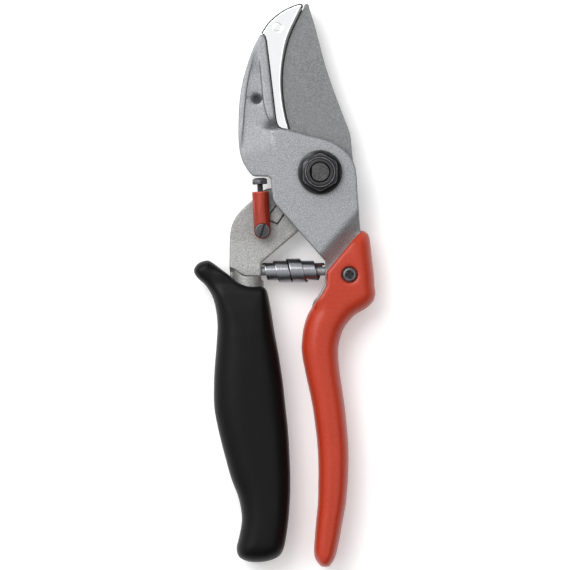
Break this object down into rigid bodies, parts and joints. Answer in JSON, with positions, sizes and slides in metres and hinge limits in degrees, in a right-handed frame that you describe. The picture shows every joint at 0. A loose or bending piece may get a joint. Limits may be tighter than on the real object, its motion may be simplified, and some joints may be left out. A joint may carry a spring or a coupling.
{
  "type": "pruning shears",
  "caption": "Anvil pruning shears with a curved blade, a polished anvil, a black hooked grip, a red grip, a volute spring and a swinging strut lock, shown closed and locked.",
  "frame": {"origin": "on the pivot's axis, at the back face of the pivot bolt's head, which lies on the table", "axes": "+Y towards the blade's tip, +X towards the blade's side, +Z out of the front face"},
  "size_m": [0.0678, 0.2104, 0.0231],
  "materials": {
    "cast_front": "bead-blasted light grey casting",
    "cast_back": "coarser blasted grey casting",
    "polished": "polished",
    "blade_coat": "grey non-stick coat with a ground edge",
    "black_steel": "black oxide",
    "zinc": "zinc plated",
    "nylon": "nylon",
    "bronze": "plain bronze",
    "brass": "turned brass",
    "black_plastic": "soft black grip, fine texture",
    "red_plastic": "satin red, fine texture",
    "red_anodised": "red painted",
    "spring_steel": "nickel plated spring steel"
  },
  "bodies": {
    "blade_side": {"pivot_bolt": "black_steel", "blade_arm": "cast_back", "blade": "blade_coat", "friction_washer": "bronze", "front_washer": "zinc", "pivot_nut": "black_steel", "nut_insert": "nylon", "thumb_grip": "black_plastic", "lock_screw": "black_steel", "volute_spring": "spring_steel"},
    "anvil_side": {"anvil_arm": "cast_front", "anvil": "polished", "anvil_screw": "black_steel", "pivot_bush": "bronze", "grip_front_shell": "red_plastic", "grip_back_shell": "red_plastic", "grip_screw": "black_steel", "grip_sleeve_nut": "zinc"},
    "lock": {"lock_strut": "red_anodised", "strut_insert": "brass"},
    "adjuster": {"lock_adjuster": "black_steel"}
  },
  "joints": [
    {"name": "pivot", "type": "hinge", "parent": "blade_side", "child": "anvil_side", "pos_m": [0, 0, 0.0139], "axis": [0, 0, 1], "range_deg": [0, 24], "deforming": ["volute_spring"]},
    {"name": "lock_swing", "type": "hinge", "parent": "blade_side", "child": "lock", "pos_m": [-0.0214, -0.0217, 0.0137], "axis": [0, 0, 1], "range_deg": [0, 97]},
    {"name": "adjuster_turn", "type": "hinge", "parent": "lock", "child": "adjuster", "pos_m": [-0.0214, -0.0217, 0.0137], "axis": [-0.0541, 0.9985, 0], "continuous": true}
  ],
  "couplings": [
    {"joint": "lock_swing", "follows": "pivot", "ratio": 4}
  ]
}
